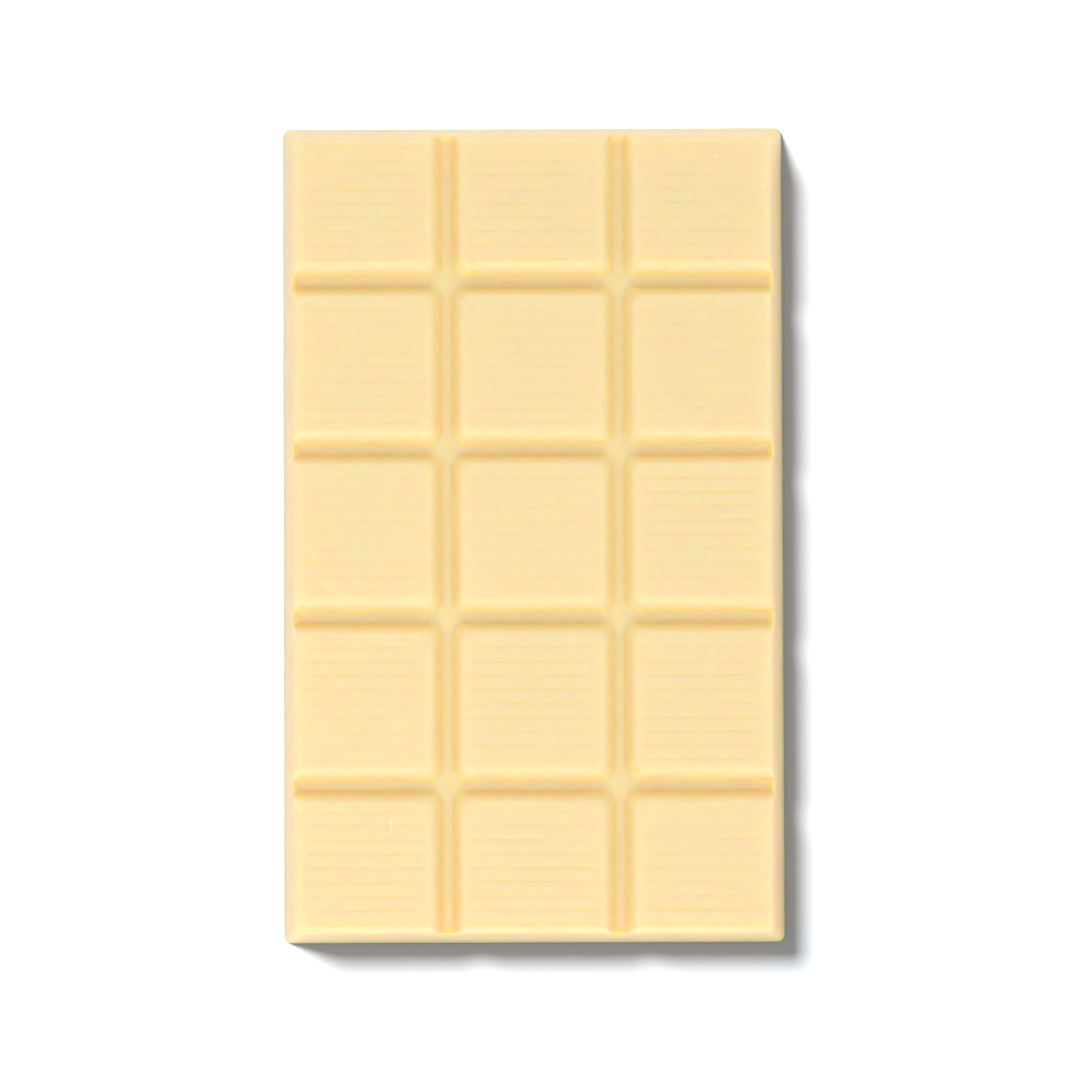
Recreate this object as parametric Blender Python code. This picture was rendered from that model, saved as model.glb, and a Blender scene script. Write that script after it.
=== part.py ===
"""A moulded bar of white chocolate, lying on its flat back with its long side along Y.

Fifteen squares stand on one slab. Open grooves with a flat floor part them, so that the bar snaps along its
rows and columns, and run out through the outer wall. Each square has rounded shoulders, a soft foot towards
the grooves and a field of fine engraved lines across its top.
"""

import math

import bmesh
import bpy

# The bar, in metres
BAR_WIDTH = 0.0737
BAR_LENGTH = 0.1200
BAR_HEIGHT = 0.0080
BAR_CORNER = 0.0011  # plan radius of the four outer corners
BASE_EDGE = 0.00025  # small chamfer round the flat back
DRAFT = math.radians(16.7)  # lean of every moulded wall, so that the bar leaves its mould

# The squares
COLUMNS = 3
ROWS = 5
PITCH_X = 0.0251
PITCH_Y = 0.0245
SHOULDER = 0.0012  # rounding from a wall to the top
SQUARE_CORNER = 0.0013  # plan radius of a square's corners
FOOT = 0.0005  # rounding from a groove's floor to a square's wall

# The grooves between the squares
FLOOR_HEIGHT = 0.0053  # top of the slab
FLOOR_WIDTH = 0.0021  # where the walls would meet the floor without their rounding

# The engraved lines
LINE_COUNT = 9
LINE_PITCH = 0.00204
LINE_WIDTH = 0.0007
LINE_FLOOR = 0.0003
LINE_DEPTH = 0.0002
LINE_RUN_OUT = 0.0008  # over this length each end rises to the surface
LINE_MARGIN_INNER = 0.0012  # from a square's edge to a line's end, beside a groove
LINE_MARGIN_OUTER = 0.0018  # the same, beside the outer wall

CORNER_STEPS = 3
SHOULDER_STEPS = 4
FOOT_STEPS = 2
WELD = 0.000001

LEAN = math.tan(DRAFT)  # how far a wall runs in for each unit that it rises
TURN = math.tan(math.pi / 4 - DRAFT / 2)  # length that a rounding takes off each side, over its radius
FLAT_HALF = FLOOR_WIDTH / 2 - FOOT * TURN  # half the flat part of a groove's floor


def outer_wall(size, height):
    """Distance from the bar's middle to its outer wall at this height."""
    return size / 2 - (height - BASE_EDGE) * LEAN


def groove_centres(count, pitch):
    return [(index - count / 2) * pitch for index in range(1, count)]


def square_span(index, count, pitch, size):
    """Both edges of a square along one axis, where its walls would meet the top if nothing were rounded."""
    half_groove = FLOOR_WIDTH / 2 + (BAR_HEIGHT - FLOOR_HEIGHT) * LEAN
    edges = [-outer_wall(size, BAR_HEIGHT)]
    for centre in groove_centres(count, pitch):
        edges += [centre - half_groove, centre + half_groove]
    edges.append(outer_wall(size, BAR_HEIGHT))
    return edges[2 * index], edges[2 * index + 1]


def arc(centre_x, centre_y, radius, start, steps=CORNER_STEPS):
    """Points of a quarter circle, anticlockwise from the start angle in degrees."""
    angles = [math.radians(start + 90 * step / steps) for step in range(steps + 1)]
    return [(centre_x + radius * math.cos(a), centre_y + radius * math.sin(a)) for a in angles]


def square_profile():
    """(inset beside a groove, inset beside the outer wall, height) from the slab up to the flat top."""
    profile = []
    foot_wall = -(BAR_HEIGHT - FLOOR_HEIGHT) * LEAN
    for step in range(FOOT_STEPS + 1):
        angle = (math.pi / 2 - DRAFT) * step / FOOT_STEPS
        height = FLOOR_HEIGHT + FOOT * (1 - math.cos(angle))
        groove_inset = foot_wall - FOOT * TURN + FOOT * math.sin(angle)
        profile.append((groove_inset, -(BAR_HEIGHT - height) * LEAN, height))
    middle = SHOULDER * TURN
    for step in range(SHOULDER_STEPS + 1):
        angle = DRAFT + (math.pi / 2 - DRAFT) * step / SHOULDER_STEPS
        inset = middle - SHOULDER * math.cos(angle)
        profile.append((inset, inset, BAR_HEIGHT - SHOULDER + SHOULDER * math.sin(angle)))
    return profile


def add_loop(bm, points, height):
    return [bm.verts.new((x, y, height)) for x, y in points]


def join_loops(bm, lower, upper):
    """A band of quads between two loops with the same number of points."""
    for index in range(len(lower)):
        after = (index + 1) % len(lower)
        bm.faces.new((lower[index], lower[after], upper[after], upper[index]))


def square_outline(column, row, groove_inset, wall_inset):
    """One square's rounded outline, moved in by the first inset beside grooves, by the second elsewhere."""
    low_x, high_x = square_span(column, COLUMNS, PITCH_X, BAR_WIDTH)
    low_y, high_y = square_span(row, ROWS, PITCH_Y, BAR_LENGTH)
    low_x += wall_inset if column == 0 else groove_inset
    high_x -= wall_inset if column == COLUMNS - 1 else groove_inset
    low_y += wall_inset if row == 0 else groove_inset
    high_y -= wall_inset if row == ROWS - 1 else groove_inset

    def turn(outer_column, outer_row):
        plain = BAR_CORNER if column == outer_column and row == outer_row else SQUARE_CORNER
        return plain - max(wall_inset, 0)

    points = []
    radius = turn(0, 0)
    points += arc(low_x + radius, low_y + radius, radius, 180)
    radius = turn(COLUMNS - 1, 0)
    points += arc(high_x - radius, low_y + radius, radius, 270)
    radius = turn(COLUMNS - 1, ROWS - 1)
    points += arc(high_x - radius, high_y - radius, radius, 0)
    radius = turn(0, ROWS - 1)
    points += arc(low_x + radius, high_y - radius, radius, 90)
    return points


def rectangle(low_x, high_x, low_y, high_y):
    return [(low_x, low_y), (high_x, low_y), (high_x, high_y), (low_x, high_y)]


def add_lines(bm, column, row):
    """The engraved lines of one square. Returns the loops that they open in its top."""
    low_x, high_x = square_span(column, COLUMNS, PITCH_X, BAR_WIDTH)
    low_y, high_y = square_span(row, ROWS, PITCH_Y, BAR_LENGTH)
    left = low_x + (LINE_MARGIN_OUTER if column == 0 else LINE_MARGIN_INNER)
    right = high_x - (LINE_MARGIN_OUTER if column == COLUMNS - 1 else LINE_MARGIN_INNER)
    mouths = []
    for line in range(LINE_COUNT):
        y = (low_y + high_y) / 2 + (line - (LINE_COUNT - 1) / 2) * LINE_PITCH
        mouth = rectangle(left, right, y - LINE_WIDTH / 2, y + LINE_WIDTH / 2)
        floor = rectangle(left + LINE_RUN_OUT, right - LINE_RUN_OUT, y - LINE_FLOOR / 2, y + LINE_FLOOR / 2)
        mouth_loop = add_loop(bm, mouth, BAR_HEIGHT)
        floor_loop = add_loop(bm, floor, BAR_HEIGHT - LINE_DEPTH)
        join_loops(bm, mouth_loop, floor_loop)
        bm.faces.new(floor_loop)
        mouths.append(mouth_loop)
    return mouths


def add_square(bm, column, row):
    """One square, from the slab up."""
    loops = []
    for groove_inset, wall_inset, height in square_profile():
        loops.append(add_loop(bm, square_outline(column, row, groove_inset, wall_inset), height))
    for lower, upper in zip(loops, loops[1:]):
        join_loops(bm, lower, upper)
    rims = []
    for loop in [loops[-1]] + add_lines(bm, column, row):
        for index, vert in enumerate(loop):
            ends = (vert, loop[(index + 1) % len(loop)])
            rims.append(bm.edges.get(ends) or bm.edges.new(ends))
    bmesh.ops.triangle_fill(bm, use_beauty=True, edges=rims, normal=(0.0, 0.0, 1.0))


def add_floor(bm, points, centre, along_y):
    """A flat face of the slab, from (along, across) points about a groove's centre line."""
    if along_y:
        points = [(centre - across, along) for along, across in points]
    else:
        points = [(along, centre + across) for along, across in points]
    bm.faces.new(add_loop(bm, points, FLOOR_HEIGHT))


def add_groove(bm, centre, crossings, size, along_y):
    """The straight parts of one groove's floor, and its two mouths in the outer wall."""
    wall = outer_wall(size, FLOOR_HEIGHT)
    reach = FLAT_HALF + SQUARE_CORNER
    lows = [SQUARE_CORNER - wall] + [crossing + reach for crossing in crossings]
    highs = [crossing - reach for crossing in crossings] + [wall - SQUARE_CORNER]
    for low, high in zip(lows, highs):
        add_floor(bm, rectangle(low, high, -FLAT_HALF, FLAT_HALF), centre, along_y)
    upper = list(reversed(arc(wall - SQUARE_CORNER, reach, SQUARE_CORNER, 270)))
    mouth = upper + [(along, -across) for along, across in reversed(upper)]
    for side in (-1, 1):
        add_floor(bm, [(side * along, across) for along, across in mouth], centre, along_y)


def add_crossing(bm, x, y):
    """The floor where two grooves cross, between the round corners of four squares."""
    points = []
    reach = FLAT_HALF + SQUARE_CORNER
    for quarter in range(4):
        turn = math.radians(90 * quarter)
        local = reversed(arc(reach, reach, SQUARE_CORNER, 180))
        points += [
            (x + a * math.cos(turn) - b * math.sin(turn), y + a * math.sin(turn) + b * math.cos(turn))
            for a, b in local
        ]
    bm.faces.new(add_loop(bm, points, FLOOR_HEIGHT))


def lower_wall(bm, drop_to, spread):
    """Carries the open edge of the mesh down to this height and out by spread, on straights and corners."""
    height = max(vert.co.z for edge in bm.edges if edge.is_boundary for vert in edge.verts)
    straight_x = outer_wall(BAR_WIDTH, height) - BAR_CORNER
    straight_y = outer_wall(BAR_LENGTH, height) - BAR_CORNER
    made = bmesh.ops.extrude_edge_only(bm, edges=[edge for edge in bm.edges if edge.is_boundary])
    for vert in made["geom"]:
        if not isinstance(vert, bmesh.types.BMVert):
            continue
        if abs(vert.co.x) > straight_x - WELD:
            vert.co.x += spread * math.copysign(1, vert.co.x)
        if abs(vert.co.y) > straight_y - WELD:
            vert.co.y += spread * math.copysign(1, vert.co.y)
        vert.co.z = drop_to


def build_bar():
    bm = bmesh.new()
    for column in range(COLUMNS):
        for row in range(ROWS):
            add_square(bm, column, row)
    grooves_x = groove_centres(COLUMNS, PITCH_X)
    grooves_y = groove_centres(ROWS, PITCH_Y)
    for x in grooves_x:
        add_groove(bm, x, grooves_y, BAR_LENGTH, along_y=True)
    for y in grooves_y:
        add_groove(bm, y, grooves_x, BAR_WIDTH, along_y=False)
        for x in grooves_x:
            add_crossing(bm, x, y)
    bmesh.ops.remove_doubles(bm, verts=bm.verts[:], dist=WELD)
    lower_wall(bm, BASE_EDGE, (FLOOR_HEIGHT - BASE_EDGE) * LEAN)
    lower_wall(bm, 0, -BASE_EDGE)
    bmesh.ops.holes_fill(bm, edges=[edge for edge in bm.edges if edge.is_boundary])
    bmesh.ops.recalc_face_normals(bm, faces=bm.faces[:])
    mesh = bpy.data.meshes.new("chocolate_bar")
    bm.to_mesh(mesh)
    bm.free()
    return mesh


def white_chocolate():
    material = bpy.data.materials.new("white_chocolate")
    material.use_nodes = True
    shader = material.node_tree.nodes["Principled BSDF"]
    shader.inputs["Base Color"].default_value = (0.95, 0.75, 0.42, 1.0)
    shader.inputs["Roughness"].default_value = 0.45
    shader.inputs["Metallic"].default_value = 0.0
    return material


for old in list(bpy.data.objects):
    bpy.data.objects.remove(old, do_unlink=True)

bar = bpy.data.objects.new("chocolate_bar", build_bar())
bpy.context.collection.objects.link(bar)
bar.data.materials.append(white_chocolate())
bar.data.shade_smooth()
bar.data.set_sharp_from_angle(angle=math.radians(32))
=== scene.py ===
import math

import bmesh
import bpy
import numpy as np
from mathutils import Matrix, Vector, noise


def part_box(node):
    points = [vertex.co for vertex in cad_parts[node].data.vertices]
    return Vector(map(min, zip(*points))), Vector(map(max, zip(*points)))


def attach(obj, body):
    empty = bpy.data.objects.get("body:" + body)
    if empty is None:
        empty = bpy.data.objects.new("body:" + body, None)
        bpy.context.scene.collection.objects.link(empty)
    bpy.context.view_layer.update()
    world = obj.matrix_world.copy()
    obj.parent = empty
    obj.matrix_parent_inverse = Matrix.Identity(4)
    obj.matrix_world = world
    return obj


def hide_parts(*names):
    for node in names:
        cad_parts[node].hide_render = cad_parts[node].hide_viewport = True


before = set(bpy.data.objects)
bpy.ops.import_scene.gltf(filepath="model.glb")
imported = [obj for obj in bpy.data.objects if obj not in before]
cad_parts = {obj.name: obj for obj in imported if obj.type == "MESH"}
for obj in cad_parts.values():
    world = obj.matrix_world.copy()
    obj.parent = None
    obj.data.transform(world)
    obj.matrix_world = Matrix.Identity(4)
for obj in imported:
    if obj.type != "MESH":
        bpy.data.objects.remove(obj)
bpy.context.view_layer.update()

mm = 0.001
lowCorner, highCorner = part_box("chocolate_bar")
barWidth, barLength, barHeight = [(b - a) / mm for a, b in zip(lowCorner, highCorner)]
print("frame loaded:", round(barWidth, 2), "x", round(barLength, 2), "x", round(barHeight, 2), "mm")

# all sizes below are in millimetres until a mesh is made
bar = {
    "columns": 3,
    "rows": 5,
    "pitchX": 25.1,
    "pitchY": 24.5,
    "draft": 16.7,        # lean of the outer wall, degrees
    "baseEdge": 0.25,     # height of the widest line, just above the flat back
    "floor": 5.3,         # top of the slab, which is the floor of the grooves
    "grooveHalf": 2.15,   # middle of a groove to the sharp top edge of its squares
    "grooveDraft": 27,    # the squares' walls lean more than the outer wall
    "acrossDraft": 29,    # most of all in the grooves that run across the bar
    "foot": 0.6,          # how much height the soft foot of a square's wall takes
    "saddle": 0.1,        # how much the floor rises where grooves cross
    "saddleReach": 3.0,
    "mouthRise": 1.1,     # and where they run out through the outer wall
    "mouthReach": 1.3,
    "shoulder": 1.5,      # rounding of each square's top edge beside a groove
    "rimShoulder": 1.3,   # the same beside the outer wall
    "squareCorner": 1.8,
    "barCorner": 1.1,
    "wobble": 0.05,       # the outline was never cast quite straight
    "step": 0.16,         # spacing of the mesh across walls and grooves
}
lines = {
    "count": 9,
    "pitch": 2.04,
    "halfWidth": 0.45,
    "depth": 0.03,
    "crown": 0.01,        # lands between the lines are a little round
    "runOut": 1.1,
    "marginInner": 0.45,
    "marginOuter": 1.2,
}
# small pits at the squares' edges: place, half length and half width, turn in degrees, depth
pits = [
    (15.10, -34.37, 0.46, 0.22, -45, 0.30),
    (-15.05, 15.33, 0.26, 0.24, 0, 0.20),
    (-11.58, 10.45, 0.22, 0.18, 0, 0.12),
    (-14.92, 10.32, 0.20, 0.20, 0, 0.12),
    (15.06, -10.25, 0.22, 0.18, 0, 0.12),
]
lean = math.tan(math.radians(bar["draft"]))
steep = 1 / lean
topInset = (barHeight - bar["baseEdge"]) * lean   # outline to the sharp top edge


def grooveCentres(count, pitch):
    return [(index - count / 2) * pitch for index in range(1, count)]


def squareEdges(count, pitch, size):
    # low and high edge of every square along one axis, as if nothing were rounded
    edges = [topInset - size / 2]
    for centre in grooveCentres(count, pitch):
        edges += [centre - bar["grooveHalf"], centre + bar["grooveHalf"]]
    edges.append(size / 2 - topInset)
    return np.array(edges[0::2]), np.array(edges[1::2])


def smoothMax(a, b, softness):
    softness = np.maximum(softness, 1e-6)
    near = np.maximum(softness - np.abs(a - b), 0) / softness
    return np.maximum(a, b) + near * near * softness / 4


def smoothMin(a, b, softness):
    return -smoothMax(-a, -b, softness)


def smoothStep(value):
    value = np.clip(value, 0, 1)
    return value * value * (3 - 2 * value)


def wallInset(dx, dy, halfX, halfY, radius):
    # plan distance in from a rounded rectangle whose corners keep one radius at every height
    a = np.abs(dx) - (halfX - radius)
    b = np.abs(dy) - (halfY - radius)
    corner = ((a + b) - np.sqrt(np.maximum(2 * radius ** 2 - (a - b) ** 2, 0))) / 2
    out = np.where(a - b >= radius, a - radius, np.where(b - a >= radius, b - radius, corner))
    return -out


def noiseField(x, y, scale, seed):
    # soft three-dimensional noise read on a plane, from -1 to 1
    points = np.stack([x.ravel() / scale, y.ravel() / scale], 1)
    values = [noise.noise((px, py, seed)) for px, py in points]
    return np.array(values).reshape(x.shape)


def edgeDrop(inset, radius, draft):
    # how far a rounded shoulder and its wall lie below the flat top, from the distance inside the sharp edge
    tilt = np.radians(draft)
    middle = radius / np.cos(tilt) - radius * np.tan(tilt)
    start = middle - radius * np.cos(tilt)
    arc = radius - np.sqrt(np.maximum(radius ** 2 - (middle - inset) ** 2, 0))
    return np.where(inset >= middle, 0, np.where(inset > start, arc, -inset / np.tan(tilt)))


def nearestGroove(values, count, pitch):
    centres = np.array(grooveCentres(count, pitch))
    return np.abs(values[..., None] - centres).min(-1)


def engraving(x, y, lowX, highX, middleY, column, row):
    # depth of the fine lines at each point of the squares
    place = (y - middleY) / lines["pitch"] + (lines["count"] - 1) / 2
    number = np.clip(np.round(place), 0, lines["count"] - 1)
    away = np.abs(place - number) * lines["pitch"]
    trough = 0.5 + 0.5 * np.cos(np.pi * np.minimum(away / lines["halfWidth"], 1))
    land = 0.5 + 0.5 * np.cos(np.pi * np.minimum(2 * away / lines["pitch"], 1))
    left = lowX + np.where(column == 0, lines["marginOuter"], lines["marginInner"])
    right = highX - np.where(column == bar["columns"] - 1, lines["marginOuter"], lines["marginInner"])
    reach = smoothStep((x - left) / lines["runOut"]) * smoothStep((right - x) / lines["runOut"])
    # every line is worn or filled a little differently, and changes along its length
    own = np.sin(number * 12.9 + row * 4.7 + column * 7.3) * 0.3
    drift = noiseField(x, number * 3.1 + row * 40, 5.5, 2.0) * 0.8
    return reach * (trough * lines["depth"] * (1 + own + drift) + land * lines["crown"])


def barSurface(x, y):
    lowsX, highsX = squareEdges(bar["columns"], bar["pitchX"], barWidth)
    lowsY, highsY = squareEdges(bar["rows"], bar["pitchY"], barLength)
    column = np.clip(np.floor(x / bar["pitchX"] + bar["columns"] / 2), 0, bar["columns"] - 1).astype(int)
    row = np.clip(np.floor(y / bar["pitchY"] + bar["rows"] / 2), 0, bar["rows"] - 1).astype(int)
    lowX, highX, lowY, highY = lowsX[column], highsX[column], lowsY[row], highsY[row]
    # beside the outer wall a square runs on past it, so that only the wall shapes it there
    past = 4 * topInset
    left, right = lowX - past * (column == 0), highX + past * (column == bar["columns"] - 1)
    near, far = lowY - past * (row == 0), highY + past * (row == bar["rows"] - 1)
    inner = wallInset(x - (left + right) / 2, y - (near + far) / 2, (right - left) / 2, (far - near) / 2,
                      bar["squareCorner"])
    outer = wallInset(x, y, barWidth / 2, barLength / 2, bar["barCorner"])
    toLongEdge = np.minimum(x - left, right - x)
    toCrossEdge = np.minimum(y - near, far - y)
    facingAcross = smoothStep(0.5 + (toLongEdge - toCrossEdge) / 3)
    leaning = bar["grooveDraft"] + (bar["acrossDraft"] - bar["grooveDraft"]) * facingAcross
    grooveDrop = edgeDrop(inner, bar["shoulder"], leaning)
    rimDrop = edgeDrop(outer - topInset, bar["rimShoulder"], bar["draft"])
    square = barHeight - (grooveDrop ** 3 + rimDrop ** 3) ** (1 / 3)
    pastMouth = outer - (bar["floor"] - bar["baseEdge"]) * lean
    toGrooveX = nearestGroove(x, bar["columns"], bar["pitchX"])
    toGrooveY = nearestGroove(y, bar["rows"], bar["pitchY"])
    nearCrossing = 1 - smoothStep(np.hypot(toGrooveX, toGrooveY) / bar["saddleReach"])
    rise = bar["saddle"] * nearCrossing + bar["mouthRise"] * (1 - smoothStep(pastMouth / bar["mouthReach"]))
    slab = smoothMin(bar["floor"] + rise, bar["baseEdge"] + outer * steep, 0.5)
    height = smoothMax(square, slab, bar["foot"] * smoothStep(pastMouth / 0.9))
    engraved = engraving(x, y, lowX, highX, (lowY + highY) / 2, column, row)
    height -= engraved
    # painted shade: the depth of the lines, and of the pits below, is kept for the material to colour them darker
    # and yellower
    recessShade = engraved / lines["depth"]
    for pitX, pitY, halfLong, halfWide, turn, depth in pits:
        cos, sin = math.cos(math.radians(turn)), math.sin(math.radians(turn))
        along = ((x - pitX) * cos + (y - pitY) * sin) / halfLong
        across = ((y - pitY) * cos - (x - pitX) * sin) / halfWide
        pit = np.exp(-along ** 2 - across ** 2)
        height -= depth * pit
        recessShade = recessShade + 20 * depth * pit
    # the cast surface is never quite flat
    onTop = smoothStep(outer / 3)
    height -= onTop * (0.03 * (1 + noiseField(x, y, 11, 5.0)) + 0.010 * (1 + noiseField(x, y, 2.6, 9.0)))
    return height, recessShade


def axisMarks(count, pitch, size, inner):
    # grid lines along one axis: close together on walls, shoulders and grooves, wider apart on flat parts
    reach = topInset + bar["rimShoulder"]
    marks = [side * (size / 2 - inset) for side in (-1, 1) for inset in np.arange(0, reach, bar["step"])]
    reach = bar["grooveHalf"] + 0.6 * bar["shoulder"]
    for centre in grooveCentres(count, pitch):
        marks += [centre + side * offset for side in (-1, 1) for offset in np.arange(0, reach, bar["step"])]
    fixed = np.array(sorted(set(round(mark, 5) for mark in marks)))
    lows, highs = squareEdges(count, pitch, size)
    for low, high in zip(lows, highs):
        marks += [mark for mark in inner(low, high) if np.abs(fixed - mark).min() > 0.09]
    return np.array(sorted(set(round(mark, 5) for mark in marks)))


def acrossLines(low, high):
    middle = (low + high) / 2
    steps = [-0.36, -0.18, 0, 0.18, 0.36, 1.02]
    for number in range(lines["count"]):
        centre = middle + (number - (lines["count"] - 1) / 2) * lines["pitch"]
        for step in steps:
            yield centre + step


def alongLines(low, high):
    ends = [1.5, 1.75, 2.0, 2.4]
    yield from [low + end for end in ends]
    yield from [high - end for end in ends]
    yield from np.linspace(low + 3.4, high - 3.4, 9)


def roundCorners(x, y):
    # bends the grid's square corners onto the bar's rounded ones
    radius = bar["barCorner"]
    insetX, insetY = barWidth / 2 - np.abs(x), barLength / 2 - np.abs(y)
    ring = np.minimum(insetX, insetY)
    a, b = ring + radius - insetX, ring + radius - insetY
    inCorner = (a > 0) & (b > 0)
    pull = np.where(inCorner, radius / np.maximum(np.hypot(a, b), 1e-9), 1)
    newX = np.where(inCorner, barWidth / 2 - (ring + radius - a * pull), np.abs(x))
    newY = np.where(inCorner, barLength / 2 - (ring + radius - b * pull), np.abs(y))
    return np.sign(x) * newX, np.sign(y) * newY


def wobbleOutline(values, half, along, seed):
    # draws the outline in by a hair here and there
    side = np.sign(values)
    drift = 1 + noiseField(along, side * 40, 13, seed) + 0.4 * noiseField(along, side * 40, 3, seed)
    return values - side * bar["wobble"] * drift * (1 - smoothStep((half - np.abs(values)) / 3))


def makeBar():
    marksX = axisMarks(bar["columns"], bar["pitchX"], barWidth, alongLines)
    marksY = axisMarks(bar["rows"], bar["pitchY"], barLength, acrossLines)
    gridX, gridY = np.meshgrid(marksX, marksY)
    gridX, gridY = roundCorners(gridX, gridY)
    gridX, gridY = wobbleOutline(gridX, barWidth / 2, gridY, 31.0), wobbleOutline(gridY, barLength / 2, gridX, 37.0)
    gridZ, recessShade = barSurface(gridX, gridY)
    print("top surface:", len(marksX), "by", len(marksY), "points")
    countY, countX = gridX.shape
    points = np.stack([gridX, gridY, gridZ], -1).reshape(-1, 3)
    index = np.arange(countX * countY).reshape(countY, countX)
    quads = np.stack([index[:-1, :-1], index[:-1, 1:], index[1:, 1:], index[1:, :-1]], -1).reshape(-1, 4)

    mesh = bpy.data.meshes.new("whiteChocolateBar")
    mesh.from_pydata((points * mm).tolist(), [], quads.tolist())
    mesh.attributes.new("recessShade", "FLOAT", "POINT").data.foreach_set("value", recessShade.ravel())
    bm = bmesh.new()
    bm.from_mesh(mesh)
    closeUnderside(bm)
    bm.to_mesh(mesh)
    bm.free()
    mesh.shade_smooth()
    obj = bpy.data.objects.new("whiteChocolateBar", mesh)
    bpy.context.scene.collection.objects.link(obj)
    return obj


def closeUnderside(bm):
    # a small rounded bottom edge, then the flat poured back
    for inset, height in ((0.05, 0.12), (0.15, 0.03), (0.32, 0.0)):
        stepDown(bm, inset, height)
    backGrid(bm)
    openEdges = [edge for edge in bm.edges if edge.is_boundary]
    bmesh.ops.triangle_fill(bm, use_beauty=True, edges=openEdges, normal=(0.0, 0.0, -1.0))
    bmesh.ops.recalc_face_normals(bm, faces=bm.faces[:])


def stepDown(bm, inset, height):
    made = bmesh.ops.extrude_edge_only(bm, edges=[edge for edge in bm.edges if edge.is_boundary])
    straightX, straightY = barWidth / 2 - 3, barLength / 2 - 3
    for vert in made["geom"]:
        if not isinstance(vert, bmesh.types.BMVert):
            continue
        # scaled towards the middle of each side, so that the corners stay round
        factorX = (barWidth / 2 - inset) / (barWidth / 2)
        factorY = (barLength / 2 - inset) / (barLength / 2)
        vert.co.x *= factorX if abs(vert.co.x) > straightX * mm else 1
        vert.co.y *= factorY if abs(vert.co.y) > straightY * mm else 1
        vert.co.z = height * mm


def backGrid(bm):
    # the poured back, with the faint dips that setting chocolate leaves
    countX, countY, border = 36, 58, 3.2
    marksX = np.linspace(-barWidth / 2 + border, barWidth / 2 - border, countX)
    marksY = np.linspace(-barLength / 2 + border, barLength / 2 - border, countY)
    gridX, gridY = np.meshgrid(marksX, marksY)
    fromEdge = np.minimum(barWidth / 2 - np.abs(gridX), barLength / 2 - np.abs(gridY)) - border
    dips = 0.05 + 0.04 * noiseField(gridX, gridY, 14, 20.0) + 0.02 * noiseField(gridX, gridY, 4, 23.0)
    gridZ = np.maximum(dips, 0) * smoothStep(fromEdge / 8)
    verts = [[bm.verts.new((x * mm, y * mm, z * mm)) for x, y, z in zip(*rows)]
             for rows in zip(gridX, gridY, gridZ)]
    for lower, upper in zip(verts, verts[1:]):
        for place in range(countX - 1):
            bm.faces.new((lower[place], upper[place], upper[place + 1], lower[place + 1]))


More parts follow.
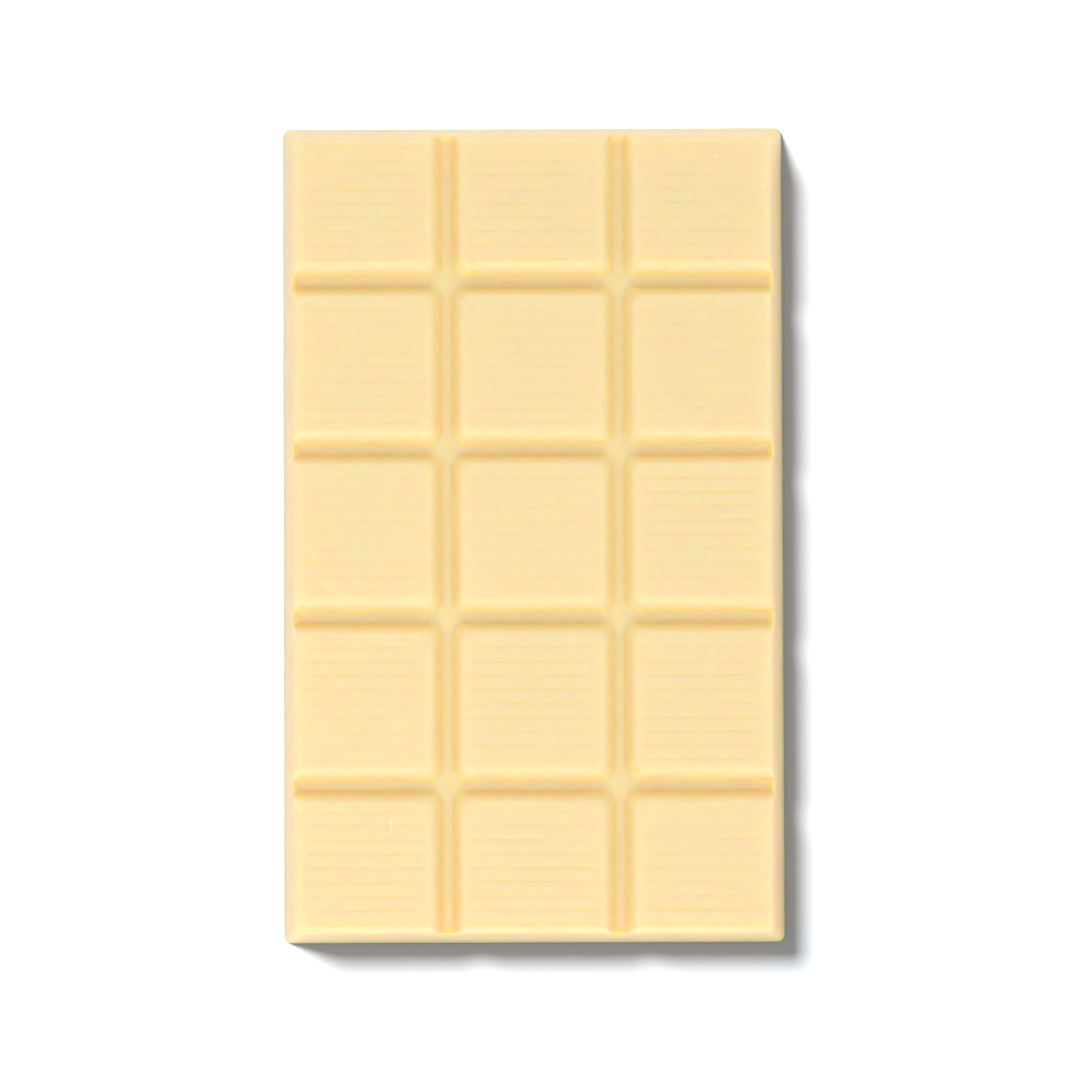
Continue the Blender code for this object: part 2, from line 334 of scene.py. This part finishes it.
def whiteChocolate():
    finish = {
        "cream": (0.995, 0.757, 0.45),
        "creamDeep": (0.99, 0.742, 0.43),
        "wallShade": (0.965, 0.64, 0.33),       # painted shade: the outer walls are coloured darker and warmer than the top
        "paintedShade": (1.0, 0.735, 0.235),     # painted shade: a darker, yellower colour laid into the grooves and onto their walls
        "lineShade": 0.20,                  # how much of the same painted shade is laid into the engraved lines and pits
        "speck": (1.0, 0.92, 0.78),
        "specks": [
            (26.8, 54.85, 0.28, 0.26),
            (33.62, 52.64, 0.26, 0.26),
            (33.61, 50.67, 0.3, 0.26),
            (-20.7, -42.22, 0.16, 1.25),
        ],
        "scatter": 0.005,
        "scatterColour": (1.0, 0.42, 0.05),
        "roughness": 0.42,
    }
    material = bpy.data.materials.new("whiteChocolate")
    material.use_nodes = True
    nodes, links = material.node_tree.nodes, material.node_tree.links
    shader = nodes["Principled BSDF"]
    shader.inputs["Subsurface Weight"].default_value = 1.0
    shader.inputs["Subsurface Scale"].default_value = finish["scatter"]
    shader.inputs["Subsurface Radius"].default_value = finish["scatterColour"]
    shader.inputs["IOR"].default_value = 1.46
    shader.inputs["Specular IOR Level"].default_value = 0.6

    coords = nodes.new("ShaderNodeTexCoord")

    def noiseTexture(scale, detail, rough=0.5):
        texture = nodes.new("ShaderNodeTexNoise")
        texture.inputs["Scale"].default_value = scale
        texture.inputs["Detail"].default_value = detail
        texture.inputs["Roughness"].default_value = rough
        links.new(coords.outputs["Object"], texture.inputs["Vector"])
        return texture.outputs["Fac"]

    # cocoa butter sets a touch paler in some places than in others
    mottle = nodes.new("ShaderNodeMix")
    mottle.data_type = "RGBA"
    mottle.inputs["A"].default_value = (*finish["cream"], 1)
    mottle.inputs["B"].default_value = (*finish["creamDeep"], 1)
    links.new(noiseTexture(160, 3), mottle.inputs["Factor"])
    def mathNode(operation, first, second=None):
        node = nodes.new("ShaderNodeMath")
        node.operation = operation
        for socket, value in zip(node.inputs, (first, second)):
            if isinstance(value, (int, float)):
                socket.default_value = value
            elif value is not None:
                links.new(value, socket)
        return node.outputs["Value"]

    def fade(value, full, none):
        node = nodes.new("ShaderNodeMapRange")
        node.interpolation_type = "SMOOTHSTEP"
        node.inputs["From Min"].default_value = full
        node.inputs["From Max"].default_value = none
        node.inputs["To Min"].default_value = 1
        node.inputs["To Max"].default_value = 0
        links.new(value, node.inputs["Value"])
        return node.outputs["Result"]

    def mixed(below, colour, share):
        node = nodes.new("ShaderNodeMix")
        node.data_type = "RGBA"
        node.inputs["B"].default_value = (*colour, 1)
        links.new(below, node.inputs["A"])
        links.new(share, node.inputs["Factor"])
        return node.outputs["Result"]

    place = nodes.new("ShaderNodeSeparateXYZ")
    links.new(coords.outputs["Object"], place.inputs["Vector"])
    toSide = mathNode("SUBTRACT", barWidth / 2 * mm, mathNode("ABSOLUTE", place.outputs["X"]))
    toEnd = mathNode("SUBTRACT", barLength / 2 * mm, mathNode("ABSOLUTE", place.outputs["Y"]))
    onWall = fade(mathNode("MINIMUM", toSide, toEnd), 1.7 * mm, 2.6 * mm)
    # painted shade: the outer walls get a darker, warmer colour that stands in for the shade on them
    colour = mixed(mottle.outputs["Result"], finish["wallShade"], onWall)
    # painted shade: low in the grooves, and more where the surface leans, the colour turns darker and yellower
    facing = nodes.new("ShaderNodeSeparateXYZ")
    links.new(coords.outputs["Normal"], facing.inputs["Vector"])
    leaning = mathNode("SUBTRACT", 1.2, facing.outputs["Z"])
    inGroove = mathNode("MULTIPLY", fade(place.outputs["Z"], 5.4 * mm, 7.3 * mm), mathNode("SUBTRACT", 1.0, onWall))
    colour = mixed(colour, finish["paintedShade"], mathNode("MULTIPLY", leaning, inGroove))
    # painted shade in the engraved lines and pits, by their depth
    recessShade = nodes.new("ShaderNodeAttribute")
    recessShade.attribute_name = "recessShade"
    colour = mixed(colour, finish["paintedShade"], mathNode("MULTIPLY", recessShade.outputs["Fac"], finish["lineShade"]))
    # specks of cocoa butter and one light scratch
    for speckX, speckY, reachX, reachY in finish["specks"]:
        offX = mathNode("DIVIDE", mathNode("SUBTRACT", place.outputs["X"], speckX * mm), reachX * mm)
        offY = mathNode("DIVIDE", mathNode("SUBTRACT", place.outputs["Y"], speckY * mm), reachY * mm)
        away = mathNode("ADD", mathNode("MULTIPLY", offX, offX), mathNode("MULTIPLY", offY, offY))
        colour = mixed(colour, finish["speck"], mathNode("MULTIPLY", fade(away, 0.2, 1.0), 0.7))
    links.new(colour, shader.inputs["Base Color"])

    # satin from the mould, duller where it was rubbed
    sheen = nodes.new("ShaderNodeMapRange")
    sheen.inputs["To Min"].default_value = finish["roughness"] - 0.08
    sheen.inputs["To Max"].default_value = finish["roughness"] + 0.10
    links.new(noiseTexture(420, 4, 0.6), sheen.inputs["Value"])
    links.new(sheen.outputs["Result"], shader.inputs["Roughness"])

    grain = nodes.new("ShaderNodeBump")
    grain.inputs["Strength"].default_value = 0.12
    grain.inputs["Distance"].default_value = 0.00008
    links.new(noiseTexture(2600, 3, 0.6), grain.inputs["Height"])
    links.new(grain.outputs["Normal"], shader.inputs["Normal"])
    return material


barObject = makeBar()
barObject.data.materials.append(whiteChocolate())
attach(barObject, "root")
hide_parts("chocolate_bar")
print("bar made:", len(barObject.data.polygons), "faces")


def makeFloor():
    bpy.ops.mesh.primitive_plane_add(size=3.0, location=(0, 0, -0.00002))
    floor = bpy.context.object
    floor.name = "studioFloor"
    material = bpy.data.materials.new("palePaper")
    material.use_nodes = True
    shader = material.node_tree.nodes["Principled BSDF"]
    shader.inputs["Base Color"].default_value = (0.405, 0.422, 0.438, 1)
    shader.inputs["Roughness"].default_value = 0.9
    shader.inputs["Specular IOR Level"].default_value = 0.1
    floor.data.materials.append(material)
    return floor


def lightOnly(lamp, lit):
    bpy.context.scene.collection.objects.link(lamp)
    group = bpy.data.collections.new(lamp.name + "Receives")
    group.objects.link(lit)
    lamp.light_linking.receiver_collection = group


def farLamp(name, towards, strength, spread, lit):
    # a broad, far lamp that lights only one object
    data = bpy.data.lights.new(name, "SUN")
    data.energy = strength
    data.angle = math.radians(spread)
    lamp = bpy.data.objects.new(name, data)
    lamp.rotation_euler = (-Vector(towards)).to_track_quat("-Z", "Y").to_euler()
    lightOnly(lamp, lit)


def nearLamp(name, place, power, size, lit):
    # a soft lamp close enough to leave the far corner of the bar a little darker
    data = bpy.data.lights.new(name, "AREA")
    data.shape = "DISK"
    data.energy = power
    data.size = size
    lamp = bpy.data.objects.new(name, data)
    lamp.location = place
    lamp.rotation_euler = (-Vector(place)).to_track_quat("-Z", "Y").to_euler()
    lightOnly(lamp, lit)


def makeStudio():
    studio = {
        "sky": 0.615,
        "nearRight": ((0.5, -0.5, 0.707), 0.57, 30),
        "near": ((0.0, -0.574, 0.819), 0.30, 30),
        "far": ((0.0, 0.866, 0.5), 0.56, 30),
        "low": ((0.0, -0.95, 0.3), 0.16, 30),
        "overFloor": ((-0.74, 0.79, 1.0), 10.6, 20),
        "nearLeft": ((-0.22, -0.22, 0.36), 0.41, 0.22),
    }
    floor = makeFloor()
    world = bpy.data.worlds.new("paleStudio")
    world.use_nodes = True
    world.node_tree.nodes["Background"].inputs["Color"].default_value = (1, 1, 1, 1)
    world.node_tree.nodes["Background"].inputs["Strength"].default_value = studio["sky"]
    bpy.context.scene.world = world
    for name in ("nearRight", "near", "far", "low"):
        farLamp(name, *studio[name], barObject)
    nearLamp("nearLeft", *studio["nearLeft"], barObject)
    # a lamp from the far left lays the bar's soft shadow on the floor
    farLamp("overFloor", *studio["overFloor"], floor)
    bpy.context.scene.cycles.diffuse_bounces = 5
    bpy.context.scene.cycles.max_bounces = 8
    bpy.context.scene.view_settings.view_transform = "Standard"
    bpy.context.scene.view_settings.look = "None"


def makeCamera():
    data = bpy.data.cameras.new("camera")
    data.sensor_width = 36
    data.lens = 112.9
    camera = bpy.data.objects.new("camera", data)
    camera.location = (0.0021, -0.0107, 0.4994)
    camera.rotation_euler = [math.radians(turn) for turn in (1.14, 0.13, -0.19)]
    bpy.context.scene.collection.objects.link(camera)
    bpy.context.scene.camera = camera


makeStudio()
makeCamera()
print("studio and camera ready")
